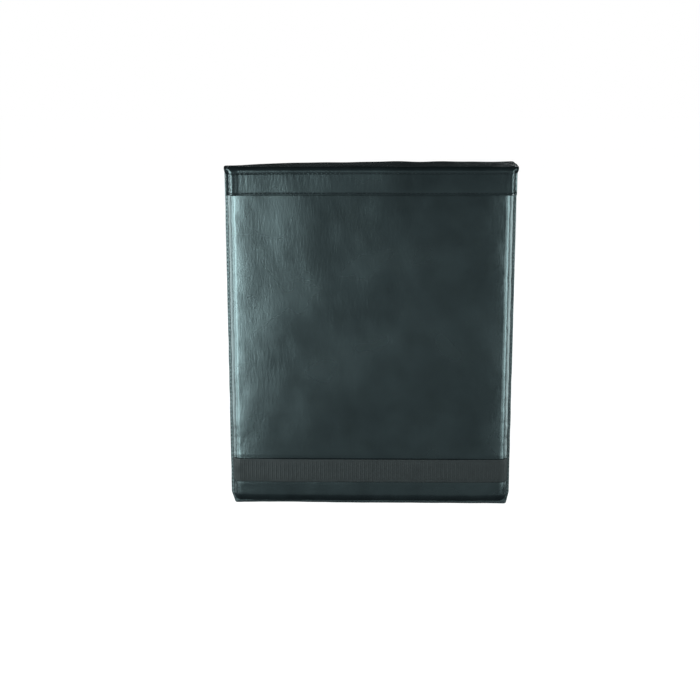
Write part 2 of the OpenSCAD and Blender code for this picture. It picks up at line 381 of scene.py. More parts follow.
COVER = leather("cover_leather", (0.0022, 0.0029, 0.0032), 0.5, 0.22, 0.29)
# Leather of the seam lips, the top seam lips and the neck patches: about 1.8 times the cover's base colour,
# painted light for the light from the left that grazes the seam lips
LIP_LEATHER_PAINTED_LIGHT = leather("seam_lip_leather_painted_light", (0.0040, 0.0052, 0.0056), 0.45, 0.40, 0.50, grain=0.8)
BACK_LEATHER = leather("back_leather", (0.0026, 0.0033, 0.0036), 0.5, 0.30, 0.42)
WEBBING = webbing_material("belt_webbing", (0.0044, 0.0053, 0.0055))
THREAD = thread_material()
PLASTIC = plastic_material()
STRIKE_FOAM = foam_material("strike_foam", (0.050, 0.055, 0.060), 700)
CORE_FOAM = foam_material("core_foam", (0.16, 0.17, 0.18), 420)
COMFORT_FOAM = foam_material("comfort_foam", (0.28, 0.29, 0.29), 300)
LOOP = tape_material("loop_nap", (0.012, 0.013, 0.014), 1100, False)
HOOK = tape_material("hook_rows", (0.010, 0.011, 0.012), 620, True)
ELASTIC = webbing_material("keeper_elastic", (0.0045, 0.0052, 0.0056))


# ---------- Camera, floor and light ----------

CAMERA_AT = Vector((0.0075, -1.6020, 0.5617))
CAMERA_AZIMUTH, CAMERA_ELEVATION, CAMERA_ROLL = 1.18, 13.01, -0.10
CAMERA_LENS = 67.33
FLOOR_HALF = 9.0
WHITE, UNSEEN = (1.0, 1.0, 1.0), (0.020, 0.026, 0.028)
TEAL, PALE = (0.84, 0.99, 1.0), (0.95, 1.0, 1.0)


def make_camera():
    data = bpy.data.cameras.new("camera")
    data.lens = CAMERA_LENS
    camera = bpy.data.objects.new("camera", data)
    a, e = math.radians(CAMERA_AZIMUTH), math.radians(CAMERA_ELEVATION)
    back = Vector((math.sin(a) * math.cos(e), -math.cos(a) * math.cos(e), math.sin(e)))
    turn = (-back).to_track_quat("-Z", "Y").to_euler()
    turn.rotate_axis("Z", math.radians(CAMERA_ROLL))
    camera.location, camera.rotation_euler = CAMERA_AT, turn
    bpy.context.scene.collection.objects.link(camera)
    bpy.context.scene.camera = camera


def area_light(name, at, turn, size, power, colour):
    data = bpy.data.lights.new(name, "AREA")
    data.shape = "RECTANGLE"
    data.size, data.size_y = size
    data.energy, data.color = power, colour
    light = bpy.data.objects.new(name, data)
    light.location, light.rotation_euler = at, turn
    light.visible_camera = False
    bpy.context.scene.collection.objects.link(light)


def softbox(name, azimuth, height, distance, size, power, colour=TEAL):
    """A light that faces the object, azimuth degrees from straight ahead, to the left."""
    a = math.radians(azimuth)
    at = Vector((-distance * math.sin(a), -distance * math.cos(a), height))
    turn = (Vector((0, 0, height)) - at).to_track_quat("-Z", "Y").to_euler()
    area_light(name, at, turn, size, power, colour)


def seen_by_camera(tree):
    """The colour of the plain studio surround: white when seen directly, dark as it lights the object."""
    path = tree.nodes.new("ShaderNodeLightPath")
    mix = tree.nodes.new("ShaderNodeMix")
    mix.data_type = "RGBA"
    mix.inputs["A"].default_value = (*UNSEEN, 1)
    mix.inputs["B"].default_value = (*WHITE, 1)
    tree.links.new(path.outputs["Is Camera Ray"], mix.inputs["Factor"])
    return mix.outputs["Result"]


def make_floor():
    corners = [(x * FLOOR_HALF, y * FLOOR_HALF, 0) for x, y in ((-1, -1), (1, -1), (1, 1), (-1, 1))]
    m = Nodes("pale_floor", (0.08, 0.08, 0.08), 0.9, Specular_IOR_Level=0.0, Emission_Strength=1.0)
    m.join(seen_by_camera(m.tree), m.shader.inputs["Emission Color"])
    floor = mesh_piece("floor", corners, [(0, 1, 2, 3)], m.material)
    floor.visible_glossy = False
    floor.visible_shadow = False


def make_studio():
    bpy.context.scene.view_settings.view_transform = "Standard"
    world = bpy.data.worlds.new("studio")
    world.use_nodes = True
    background = world.node_tree.nodes["Background"]
    world.node_tree.links.new(seen_by_camera(world.node_tree), background.inputs["Color"])
    bpy.context.scene.world = world
    make_floor()
    softbox("left_key", 21, 0.22, 1.9, (0.24, 1.1), 16)
    softbox("left_wide", 34, 0.28, 1.8, (0.50, 1.3), 56)
    softbox("left_side", 60, 0.30, 1.6, (0.6, 1.3), 38)
    softbox("left_rim", 96, 0.30, 1.5, (0.8, 1.3), 26)
    softbox("right_wide", -30, 0.25, 1.8, (0.35, 1.3), 12)
    softbox("right_side", -54, 0.30, 1.6, (0.6, 1.3), 34)
    softbox("right_rim", -96, 0.30, 1.5, (0.8, 1.3), 24)
    softbox("back_left", 145, 0.55, 1.7, (1.1, 1.1), 30, PALE)
    softbox("back_right", -152, 0.45, 1.7, (0.8, 1.2), 24, PALE)
    # What a pale table in front of the object sends up into its leather
    area_light("table_glow", (0, -1.05, -0.02), (math.pi, 0, 0), (3.2, 1.9), 5, TEAL)


make_camera()
make_studio()


# ---------- How the top left corner sinks ----------

LIP_Y = LIP_LO.y
# How far the top sinks: at the back's left corner, at the front's left corner, along the back's left half
BACK_SINK, FRONT_SINK, TILT_SINK = 4.3 * MM, 1.5 * MM, 1.2 * MM
# How far the top reaches at its left end (-1) and its right end (1)
TOP_REACH = {-1: 174.2 * MM, 1: 175.6 * MM}


def droop(x, y, z):
    """How far the cover sinks near its top: most at the left end of the back, where the foam is lower."""
    left = np.exp(-(x + TOP_REACH[-1]) / (45 * MM))
    behind = smoothstep((y - LIP_Y) / (BACK_Y - LIP_Y))
    high = smoothstep((z - 370 * MM) / (45 * MM))
    front = smoothstep((-30 * MM - y) / (8 * MM)) * (1 - smoothstep((z - 417 * MM) / (4 * MM)))
    tilt = 1 - smoothstep((x + 50 * MM) / (110 * MM))
    return high * (left * (BACK_SINK * behind + FRONT_SINK * front) + TILT_SINK * tilt * behind)


def sunk(points):
    points = np.array(points, float)
    points[..., 2] -= droop(points[..., 0], points[..., 1], points[..., 2])
    return points


# ---------- The rolled panels ----------

ROLL_STEPS = 12
FACE_STEP = 2.4 * MM
PINCH = 0.7 * MM


def roll_lines(corner, edge, far_roll):
    """Positions across a panel: (distance along the flat, share out to the seam from -1 to 1)."""
    t = np.linspace(0, 1, ROLL_STEPS + 1)[:-1]
    out = np.cos(t * math.pi / 2)
    level = np.linspace(corner, edge, int(round((edge - corner) / FACE_STEP)) + 1)
    where = np.concatenate([np.full(len(out), corner), level, np.full(len(out) if far_roll else 0, edge)])
    share = np.concatenate([-out, np.zeros(len(level)), out[::-1] if far_roll else []])
    return where, share


def rolled_grid():
    """A panel's grid as (x, depth in front of the seam plane, z), and its depth as a share of the roll."""
    x0, px = roll_lines(-CORNER_X, CORNER_X, True)
    z0, pz = roll_lines(CORNER_Z, PANEL_TOP, False)
    p, q = np.meshgrid(px, pz, indexing="ij")
    a, b = p * np.sqrt(1 - q * q / 2), q * np.sqrt(1 - p * p / 2)
    depth = np.sqrt(np.clip(1 - a * a - b * b, 0, 1))
    out = np.sqrt(a * a + b * b)
    pull = PINCH * bump(depth, 0, 0.16) - 0.5 * MM * bump(depth, 0.45, 0.3)
    reach = EDGE_R - pull / np.maximum(out, 1)
    x = x0[:, None] + a * reach
    z = z0[None, :] + b * reach
    return np.stack([x, EDGE_R * depth, z], -1), depth


CLOTH_FRAMES = 18
CLOTH = {
    "quality": 4, "mass": 0.4, "tension_stiffness": 18, "compression_stiffness": 18,
    "shear_stiffness": 10, "bending_stiffness": 2.0,
    "use_pressure": True, "uniform_pressure_force": 3.0,
}


def swell(points, held):
    """How far cloth held at its edge and pressed out from behind swells, as a share of its highest point."""
    nu, nv = points.shape[:2]
    obj = mesh_piece("swelling", points, quads(nu, nv, flip=True), COVER)
    group = obj.vertex_groups.new(name="held")
    group.add([int(i) for i in np.flatnonzero(held.ravel())], 1.0, "REPLACE")
    cloth = obj.modifiers.new("cloth", "CLOTH")
    for key, value in CLOTH.items():
        setattr(cloth.settings, key, value)
    cloth.settings.vertex_group_mass = "held"
    cloth.settings.effector_weights.gravity = 0
    cloth.collision_settings.use_collision = False
    cloth.point_cache.frame_start, cloth.point_cache.frame_end = 1, CLOTH_FRAMES
    scene = bpy.context.scene
    for f in range(1, CLOTH_FRAMES + 1):
        scene.frame_set(f)
    done = obj.evaluated_get(bpy.context.evaluated_depsgraph_get()).to_mesh()
    co = np.array([v.co for v in done.vertices]).reshape(points.shape)
    scene.frame_set(1)
    bpy.data.objects.remove(obj)
    rise = np.clip((co - points)[..., 1], 0, None)
    for _ in range(3):
        rise[1:-1, 1:-1] = (rise[:-2, 1:-1] + rise[2:, 1:-1] + rise[1:-1, :-2] + rise[1:-1, 2:]) / 4
    return np.stack([0 * rise, rise / max(rise.max(), 1e-9), 0 * rise], -1)


def spread(coarse, shape):
    """A coarse grid of vectors drawn onto a finer grid."""
    u = np.linspace(0, coarse.shape[0] - 1, shape[0])
    v = np.linspace(0, coarse.shape[1] - 1, shape[1])
    i, j = np.minimum(u.astype(int), coarse.shape[0] - 2), np.minimum(v.astype(int), coarse.shape[1] - 2)
    fu, fv = (u - i)[:, None, None], (v - j)[None, :, None]
    a, b = coarse[i][:, j], coarse[i + 1][:, j]
    c, d = coarse[i][:, j + 1], coarse[i + 1][:, j + 1]
    return (a * (1 - fu) + b * fu) * (1 - fv) + (c * (1 - fu) + d * fu) * fv


CROWN, BACK_CROWN = 1.5 * MM, 0.2 * MM
# The harness presses the back this far in
HARNESS_PRESS = 0.35 * MM
# The panels fall away a little before their rolled sides, since the foam's edge gives
SOFT_DROP, SOFT_REACH = 1.1 * MM, 15 * MM


def panel_swelling(grid, depth):
    coarse = grid[::2, ::2]
    held = depth[::2, ::2] < 0.02
    held[:, -1] = True
    return spread(swell(coarse, held), grid.shape[:2])


def make_panel(name, front, material, seed, replaces):
    """A large panel: rolled edges, a soft swell, puckers along the seam and shallow dents."""
    grid, depth = rolled_grid()
    grid = grid + SWELLING * (CROWN if front else BACK_CROWN)
    x, z = grid[..., 0], grid[..., 2]
    inner = smoothstep(depth * 1.6)
    field = 0.16 * MM * ripple(grid, 75 * MM, seed) + 0.035 * MM * ripple(grid, 26 * MM, seed + 1)
    field = field * inner
    edge = np.minimum(np.minimum(HALF_W - np.abs(x), z - BOTTOM_LIP), 40 * MM)
    near_seam = np.exp(-np.clip(edge, 0, 1) / (8 * MM)) * smoothstep(depth * 4)
    field += 0.12 * MM * ripple(grid, 13 * MM, seed + 2) * near_seam
    soft_edge = SOFT_DROP * np.exp(-np.clip(HALF_W - EDGE_R - np.abs(x), 0, 1) / SOFT_REACH) * inner
    if front:
        band = (z > BAND_LO.z - 2 * MM) & (z < BAND_HI.z + 2 * MM)
        field -= np.where(band, 0.25 * MM, 0)
        soft_edge = soft_edge * (1 - bump(z, (BAND_LO.z + BAND_HI.z) / 2, 20 * MM))
    else:
        field -= HARNESS_PRESS * inner
        for cx, cz, turn, length in CREASES:
            c, s = math.cos(turn), math.sin(turn)
            along, across = (x - cx) * c + (z - cz) * s, (z - cz) * c - (x - cx) * s
            field -= 0.10 * MM * bump(along, 0, length) * bump(across, 0, 1.8 * MM)
    field -= soft_edge
    side = -1 if front else 1
    seam = FRONT_SEAM if front else BACK_SEAM
    points = np.stack([x, seam + side * grid[..., 1], z], -1)
    normals = grid_normals(points, (0, side, 0))
    points = sunk(points + normals * field[..., None])
    normals = grid_normals(points, (0, side, 0))
    obj = thick_sheet(name, points, normals, LEATHER_T, material)
    place(obj, "pad", replaces)


# Faint creases in the back: middle x and z, turn in radians, half length
CREASES = [
    (-0.1536, 0.349, 1.0, 8 * MM), (-0.1575, 0.345, 1.1, 6 * MM), (-0.140, 0.333, 1.2, 7 * MM),
    (0.052, 0.330, 0.5, 16 * MM), (-0.060, 0.255, 0.2, 22 * MM), (0.110, 0.150, -0.4, 18 * MM),
]

SWELLING = panel_swelling(*rolled_grid())
make_panel("front_panel_leather", True, COVER, 11, ["front_panel"])
make_panel("back_panel_leather", False, BACK_LEATHER, 41, ["back_panel"])


# ---------- The cover's outline, its gussets and its seam lips ----------

OUTLINE_TOP = TOP_Z - 1.2 * MM


def outline(step):
    """The cover's outline, down from the top left and round: points (x, z), outward normals, distances."""
    pieces = [
        [(-HALF_W, OUTLINE_TOP), (-HALF_W, CORNER_Z)],
        arc_points((-CORNER_X, CORNER_Z), EDGE_R, 180, 270, 30),
        [(-CORNER_X, BOTTOM_LIP), (CORNER_X, BOTTOM_LIP)],
        arc_points((CORNER_X, CORNER_Z), EDGE_R, 270, 360, 30),
        [(HALF_W, CORNER_Z), (HALF_W, OUTLINE_TOP)],
    ]
    points, s = resample(np.concatenate([np.asarray(p) for p in pieces]), step)
    return points, line_normals(points), s


OUTLINE, OUT_NORMAL, OUT_S = outline(1.0 * MM)
CORNER_SHARE = np.clip(np.arctan2(-OUT_NORMAL[:, 1], np.abs(OUT_NORMAL[:, 0])) / (math.pi / 2), 0, 1)


def corner_lip(turn, slant):
    """The lip's width round a corner cut off at a slant, at turns from 0 at the side to 90 degrees."""
    cut = SIDE_LIP + EDGE_R - 0.5 * MM
    side = cut / np.cos(turn - slant)
    below = (BOTTOM_LIP + EDGE_R) / np.maximum(np.sin(turn), 0.2)
    return np.minimum(side, below + 0.5 * MM * np.cos(turn)) - EDGE_R


def lip_width():
    """How far the seam lip stands out at each point of the outline: to a point at the bottom corners."""
    turn = CORNER_SHARE * math.pi / 2
    left = OUTLINE[:, 0] < 0
    width = np.where(left, corner_lip(turn, LEFT_SLANT), corner_lip(turn, RIGHT_SLANT))
    width = np.where(CORNER_SHARE < 0.01, SIDE_LIP, width)
    hollow = 0.8 * MM * bump(OUTLINE[:, 0], -105 * MM, 45 * MM) * (CORNER_SHARE > 0.99)
    wander = ripple(flat(OUT_S, 0 * OUT_S), 45 * MM, 5)
    width = width - hollow + np.minimum(0.15 * MM * wander, 0.0)
    return np.convolve(np.pad(width, 1, mode="edge"), [0.25, 0.5, 0.25], "valid")


LEFT_SLANT, RIGHT_SLANT = math.radians(18), math.radians(13)
LIP_WIDTH = lip_width()
LIP_ROOT = -1.6 * MM
STITCH_LINE = 0.52
PLY_T = LEATHER_T * 0.96


def ply_bend(share, side):
    """How far a lip's plies lean back as they stand out, away from the panel that they edge."""
    return -side * 0.6 * MM * np.clip(share, 0, 1) ** 2


def make_ply(name, seam, side, near):
    """A ply of a seam lip: side is -1 at the front seam and 1 behind, near is True for the panel's ply."""
    share = np.array([0.0, 0.2, 0.36, 0.52, 0.68, 0.84, 0.95])
    wander = ripple(flat(OUT_S, 0 * OUT_S), 30 * MM, 17 if near else 18)[:, None]
    width = (LIP_WIDTH - (0.0 if near else 0.15 * MM))[:, None]
    out = LIP_ROOT + (width - LIP_ROOT) * share
    grown = np.maximum(out / width, 0)
    dent = 0.32 * MM * stitch_beat(OUT_S, SEAM_PITCH)[:, None] * bump(grown, STITCH_LINE, 0.3)
    lean = ply_bend(grown, side) + 0.12 * MM * wander * grown
    top = side * (PLY_T - dent) if near else 0 * dent
    low = 0 * dent if near else -side * (PLY_T - dent)
    half = (top + low)[:, -1:] / 2
    out = np.concatenate([out, width, out[:, ::-1]], 1)
    y = seam + np.concatenate([top + lean, half + lean[:, -1:], (low + lean)[:, ::-1]], 1)
    x, z = (OUTLINE[:, k, None] + OUT_NORMAL[:, k, None] * out for k in (0, 1))
    place(loft(name, sunk(np.stack([x, y, z], -1)), LIP_LEATHER_PAINTED_LIGHT), "pad")


def thread_mesh(name, centres, ways, ups, length, radius, body):
    """A row of stitches: each a short thread that dips into the leather at both ends."""
    rings, sides_of_ring = 7, 6
    along = np.linspace(-0.5, 0.5, rings)
    thick = np.sqrt(np.clip(1 - (2 * along) ** 4, 0.12, 1))
    lift = 0.55 * (1 - (2 * along) ** 2) - 0.30
    turn = np.arange(sides_of_ring) / sides_of_ring * 2 * math.pi
    centres = np.asarray(centres, float)
    ways, ups = unit(np.asarray(ways, float)), unit(np.asarray(ups, float))
    sides = np.cross(ways, ups)
    high = (lift[:, None] * 1.6 + thick[:, None] * np.sin(turn))[None, :, :, None]
    wide = (thick[:, None] * np.cos(turn))[None, :, :, None]
    points = along[None, :, None, None] * length * ways[:, None, None, :]
    points = points + ups[:, None, None, :] * radius * high + sides[:, None, None, :] * radius * wide
    points = points + centres[:, None, None, :]
    count = rings * sides_of_ring
    faces = []
    for start in range(0, len(centres) * count, count):
        faces += quads(rings, sides_of_ring, start, wrap_v=True)
        faces.append(list(range(start, start + sides_of_ring))[::-1])
        faces.append(list(range(start + count - sides_of_ring, start + count)))
    place(faced_out(mesh_piece(name, points, faces, THREAD)), body)


def seam_stitches(name, seam, side):
    """Stitches on both faces of a seam lip."""
    at = np.arange(SEAM_PITCH * 0.5, OUT_S[-1], SEAM_PITCH)
    x, z = (np.interp(at, OUT_S, OUTLINE[:, k]) for k in (0, 1))
    nx, nz = (np.interp(at, OUT_S, OUT_NORMAL[:, k]) for k in (0, 1))
    width = np.interp(at, OUT_S, LIP_WIDTH)
    out = STITCH_LINE * width
    lean = ply_bend(STITCH_LINE, side)
    way = flat(-nz, nx)
    centres, ups = [], []
    for face in (-1, 1):
        y = seam + lean + face * (PLY_T - 0.02 * MM)
        centres.append(np.stack([x + nx * out, np.full_like(x, y), z + nz * out], -1))
        ups.append(np.stack([0 * x, np.full_like(x, face), 0 * x], -1))
    thread_mesh(name, sunk(np.concatenate(centres)), np.concatenate([way, way]), np.concatenate(ups),
                SEAM_PITCH * 0.74, 0.36 * MM, "pad")


def make_seam(name, seam, side):
    make_ply(name + "_panel_ply", seam, side, True)
    make_ply(name + "_gusset_ply", seam, side, False)
    seam_stitches(name + "_stitches", seam, side)


def make_gusset(name, first, last, seed):
    """A strip of the pad's side, from seam to seam, along the outline's points first to last."""
    across = np.linspace(0, 1, 27)
    path, normal = OUTLINE[first:last:2], OUT_NORMAL[first:last:2]
    y = FRONT_SEAM + (BACK_SEAM - FRONT_SEAM) * across
    base = np.stack(np.broadcast_arrays(path[:, :1], y[None, :], path[:, 1:]), -1)
    edge = np.minimum(across, 1 - across) * (BACK_SEAM - FRONT_SEAM)
    pull = 1.1 * MM * np.exp(-edge / (1.4 * MM)) - 0.5 * MM * np.sin(np.pi * across)
    field = -pull[None, :] + 0.25 * MM * ripple(base, 40 * MM, seed) * np.sin(np.pi * across)[None, :]
    field = field + 0.20 * MM * ripple(base, 11 * MM, seed + 1) * np.exp(-edge / (7 * MM))[None, :]
    out = np.stack(np.broadcast_arrays(normal[:, :1], 0 * y[None, :], normal[:, 1:]), -1)
    points = sunk(base + out * field[..., None])
    obj = thick_sheet(name + "_leather", points, out, LEATHER_T, BACK_LEATHER)
    place(obj, "pad", [name])


LEFT_END = int(np.argmax(OUTLINE[:, 0] > -CORNER_X))
RIGHT_START = len(OUTLINE) - int(np.argmax(OUTLINE[::-1, 0] < CORNER_X))
make_gusset("left_gusset", 0, LEFT_END + 1, 71)
make_gusset("bottom_gusset", LEFT_END, RIGHT_START, 73)
make_gusset("right_gusset", RIGHT_START - 1, len(OUTLINE), 75)
make_seam("front_seam", FRONT_SEAM, -1)
make_seam("back_seam", BACK_SEAM, 1)


# ---------- The leather over the top and its lip ----------

LIP_BOTTOM = LIP_LO.z
UPPER_ROW, LOWER_ROW = HINGE_Z - 1.0 * MM, LIP_BOTTOM + 3.0 * MM
FOLD_R = 5 * MM
BACK_HEM = 411 * MM
# The way that the leather passes from the pad to the lip: down, and forward enough to leave out the hem
# At each end the lip rolls back from its start to a pinched valley, then rises a little to its edge
ROLL_START = {-1: 164.9 * MM, 1: 167.9 * MM}
VALLEY = {-1: 168.9 * MM, 1: 171.2 * MM}
LIP_END = {-1: 172.5 * MM, 1: 174.4 * MM}
PUFF = {-1: 1.3 * MM, 1: 0.5 * MM}
ROLL_DEPTH, EDGE_RISE = 8.4 * MM, 1.0 * MM
SCALLOP_PITCH = 7.4 * MM
LIP_THICK, TOP_THICK = 2.3 * MM, 1.7 * MM


def by_side(x, values):
    return np.where(np.asarray(x) < 0, values[-1], values[1])


def end_roll(x):
    """How far the lip's face goes back at x, where its ends are drawn in to the side seams."""
    start, valley, end = (by_side(x, v) for v in (ROLL_START, VALLEY, LIP_END))
    share = np.clip((np.abs(x) - start) / (valley - start), 0, 1)
    rise = np.clip((np.abs(x) - valley) / (end - valley), 0, 1)
    return ROLL_DEPTH * (1 - np.sqrt(1 - share * share)) - EDGE_RISE * rise


def lip_relief(x, z):
    """How far the lip's face stands out: drawn in at its stitch rows and puffed up at its ends."""
    puff = 0.45 * MM * np.clip(np.sin(math.pi * (z - LOWER_ROW) / (UPPER_ROW - LOWER_ROW)), 0, 1) ** 0.6
    hem = 0.40 * MM * bump(z, LIP_BOTTOM + 1.4 * MM, 1.3 * MM)
    rim = 0.50 * MM * bump(z, UPPER_ROW + 2.8 * MM, 1.7 * MM)
    middle = smoothstep((z - LIP_BOTTOM) / (4 * MM)) * smoothstep((TOP_Z - 3 * MM - z) / (4 * MM))
    puffed = by_side(x, ROLL_START) - 8 * MM
    ends = by_side(x, PUFF) * smoothstep((np.abs(x) - puffed) / (7 * MM)) * (0.35 + 0.65 * middle)
    rows = bump(z, UPPER_ROW, 0.5 * MM) + bump(z, LOWER_ROW, 0.5 * MM)
    drawn = (0.50 + 0.45 * stitch_beat(x, ROW_PITCH)) * MM * rows
    p = flat(x, z)
    streak = ripple(p, 3.6 * MM, 62, stretch=(1, 1, 5)) * middle * smoothstep((z - LOWER_ROW) / (20 * MM))
    return puff + hem + rim + ends - drawn + 0.06 * MM * ripple(p, 40 * MM, 61) + 0.016 * MM * streak


def top_section():
    """The section's outer line (y, z), from the back hem over the top and down to the lip's edge."""
    hem_y, hem_r = BACK_Y + 1.0 * MM, 4.5 * MM
    edge_r = LEATHER_T
    lines = [
        [(hem_y, BACK_HEM), (hem_y, TOP_Z - hem_r)],
        arc_points((hem_y - hem_r, TOP_Z - hem_r), hem_r, 0, 90, 10),
        arc_points((LIP_Y + FOLD_R, TOP_Z - FOLD_R), FOLD_R, 90, 180, 14),
        [(LIP_Y, TOP_Z - FOLD_R), (LIP_Y, LIP_BOTTOM + edge_r)],
        arc_points((LIP_Y + edge_r, LIP_BOTTOM + edge_r), edge_r, 180, 245, 6),
    ]
    points, _ = resample(np.concatenate([np.asarray(l) for l in lines]), 0.42 * MM)
    row_gap = np.minimum(np.abs(points[:, 1] - UPPER_ROW), np.abs(points[:, 1] - LOWER_ROW))
    fine = (points[:, 0] < LIP_Y + MM) & (row_gap < 1.8 * MM)
    points = points[fine | (np.arange(len(points)) % 2 == 0)]
    return points, line_normals(points)


def flap_stations():
    """x of each section, closer together where the ends roll round."""
    turn = np.radians(np.linspace(4, 90, 14))
    ends = {}
    for side in (-1, 1):
        roll = ROLL_START[side] + (VALLEY[side] - ROLL_START[side]) * np.sin(turn)
        ends[side] = np.concatenate([roll, np.linspace(VALLEY[side], LIP_END[side], 7)[1:]])
    level = np.linspace(-ROLL_START[-1], ROLL_START[1], 320)
    return np.concatenate([-ends[-1][::-1], level, ends[1]])


def make_top_leather():
    section, normal = top_section()
    x, y, z = np.broadcast_arrays(flap_stations()[:, None], section[:, 0], section[:, 1])
    ny, nz = normal[:, 0], normal[:, 1]
    on_front = smoothstep((LIP_Y + 14 * MM - y) / (14 * MM))
    on_top = smoothstep((z - (TOP_Z - 9 * MM)) / (7 * MM))
    over_top = bump(y, (LIP_Y + BACK_Y) / 2, 30 * MM) * on_top
    relief = lip_relief(x, z) * on_front + 0.7 * MM * over_top
    relief += 0.35 * MM * ripple(np.stack([x, y, z], -1), 55 * MM, 81) * on_top * (1 - on_front)
    roll_front = end_roll(x) * on_front * (1 - 0.75 * on_top)
    roll_back = 0.6 * end_roll(x) * (y > 0) * (1 - on_top)
    scallop = 1.0 * MM * wave(z - LIP_BOTTOM, SCALLOP_PITCH)
    near_valley = smoothstep((np.abs(x) - by_side(x, ROLL_START)) / (3 * MM))
    near_valley = near_valley * bump(np.maximum(np.abs(x) - by_side(x, VALLEY), 0), 0, MM)
    pull = np.where(x < 0, -1, 1) * scallop * near_valley * (z < TOP_Z - 4 * MM)
    wide = 1 + (by_side(x, TOP_REACH) / by_side(x, LIP_END) - 1) * on_top
    depth = y + ny * relief + roll_front - roll_back
    outer = np.stack([x * wide - pull, depth, z + nz * relief - droop(x, y, z)], -1)
    thick = np.where(z < TOP_Z - FOLD_R, LIP_THICK, TOP_THICK)
    inner = outer - np.stack([0 * x, ny * thick, nz * thick], -1)
    obj = loft("top_and_lip_leather", np.concatenate([outer, inner[:, ::-1]], 1), COVER)
    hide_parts("top_panel", "flap_front_lip")
    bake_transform(obj)


def row_stitches(name, z, body):
    """A stitch row across the lip."""
    x = np.arange(-HALF_W + 4.2 * MM, HALF_W - 3 * MM, ROW_PITCH)
    x = x - (x[0] + x[-1]) / 2
    z = np.full_like(x, z)

    def face(at):
        return LIP_Y - lip_relief(at, z) + end_roll(at)

    y = face(x) - 0.02 * MM
    slope = (face(x + MM) - face(x - MM)) / (2 * MM)
    ways = np.stack([np.ones_like(x), slope, 0 * x], -1)
    ups = np.stack([slope, -np.ones_like(x), 0 * x], -1)
    z = z - droop(x, np.full_like(x, LIP_Y), z)
    thread_mesh(name, np.stack([x, y, z], -1), ways, ups, ROW_PITCH * 0.70, 0.48 * MM, body)


def make_top_side_lip(name, side):
    """The lip of the short seam between the top leather and a side gusset."""
    share = np.array([0.0, 0.3, 0.55, 0.8, 0.95])
    out = HALF_W - 1.2 * MM + (SIDE_LIP + 0.9 * MM) * share
    middle = PANEL_TOP + 0.6 * MM - 0.5 * MM * share
    x = np.concatenate([out, [out[-1] + 0.2 * MM], out[::-1]]) * side
    rings = []
    for y in np.linspace(FRONT_SEAM + 0.5 * MM, BACK_SEAM - 0.5 * MM, 60):
        half = LEATHER_T - 0.25 * MM * stitch_beat(y, SEAM_PITCH) * bump(share, 0.6, 0.3)
        z = np.concatenate([middle + half, middle[-1:], (middle - half)[::-1]])
        rings.append(np.stack([x, np.full_like(x, y), z], -1))
    place(loft(name, sunk(rings), LIP_LEATHER_PAINTED_LIGHT), "pad")


make_top_leather()
row_stitches("lip_upper_stitches", UPPER_ROW, "flap_lip")
row_stitches("lip_lower_stitches", LOWER_ROW, "flap_lip")
make_top_side_lip("top_left_seam_lip", -1)
make_top_side_lip("top_right_seam_lip", 1)


# ---------- Webbing ----------

def webbing(name, path, out_hint, width_way, width, thickness, body, replaces):
    """Ribbed webbing along a path of 3-D points. out_hint is the way that its face looks at the start."""
    points, s = resample(path, RIB_PITCH / 4)
    tangent = unit(np.gradient(points, axis=0))
    across = np.array(width_way, float)
    up = unit(np.cross(tangent, across))
    if (up[0] @ np.asarray(out_hint, float)) < 0:
        up = -up
    v = np.array([0, 0.25, 0.5, 0.70, 0.78, 0.86, 0.94, 0.985, 1])
    v = np.concatenate([-v[:0:-1], v])
    edge = (1 - np.abs(v)) * width / 2
    round_off = np.sqrt(np.clip(1 - (1 - np.clip(edge / (thickness / 2), 0, 1)) ** 2, 0.02, 1))
    beat = 0.72 + 0.28 * np.cos(math.pi * s / RIB_PITCH)
    ribs = (wave(s, RIB_PITCH) ** 1.5 * beat)[:, None] * smoothstep((edge - 1.6 * MM) / (1.2 * MM))[None, :]
    groove = bump(edge, 3.3 * MM, 0.6 * MM)[None, :]
    rise = 0.30 * MM * ribs - 0.12 * MM * groove
    half = (thickness / 2 - 0.18 * MM) * round_off[None, :]
    side_way = v[None, :, None] * (width / 2 * across)
    upper = points[:, None] + side_way + up[:, None] * (half + rise)[..., None]
    lower = points[:, None] + side_way - up[:, None] * (half + 0.6 * rise)[..., None]
    obj = loft(name, np.concatenate([upper, lower[:, ::-1]], 1), WEBBING)
    return place(obj, body, replaces)


def bend_path(centre, radius, start, end):
    return arc_points(centre, radius, start, end, max(6, int(abs(end - start) / 6)))


def in_plan(points, z):
    """Points (x, y) in plan as 3-D points at height z."""
    return np.column_stack([points, np.full(len(points), z)])


def make_front_band():
    thickness = FRONT_Y - BAND_LO.y
    r = EDGE_R + thickness / 2
    z = (BAND_LO.z + BAND_HI.z) / 2
    turns = [bend_path((-CORNER_X, FRONT_SEAM), r, 186, 270), bend_path((CORNER_X, FRONT_SEAM), r, 270, 354)]
    path = resample(np.concatenate(turns), 1 * MM)[0]
    middle = smoothstep((CORNER_X - np.abs(path[:, 0])) / (60 * MM))
    path[:, 1] -= CROWN * 0.8 * middle
    ends = smoothstep((np.abs(path[:, 0]) - CORNER_X - 6 * MM) / (6 * MM))
    path[:, 0] -= np.sign(path[:, 0]) * 1.3 * MM * ends
    webbing("front_webbing", in_plan(path, z), (-1, 0, 0), (0, 0, 1), BAND_HI.z - BAND_LO.z, thickness,
            "pad", ["front_webbing_band"])


make_front_band()


# ---------- The harness behind ----------

BELT_T, NECK_T = 1.6 * MM, 1.4 * MM
LAY_GAP = 0.3 * MM
BELT_LOOP_R = 2.0 * MM + LAY_GAP + BELT_T / 2
NECK_LOOP_R = 1.8 * MM + LAY_GAP + NECK_T / 2
# A keeper's wall, and how square its corners are: less is squarer
KEEPER_WALL, KEEPER_SQUARE = 0.8 * MM, 0.18


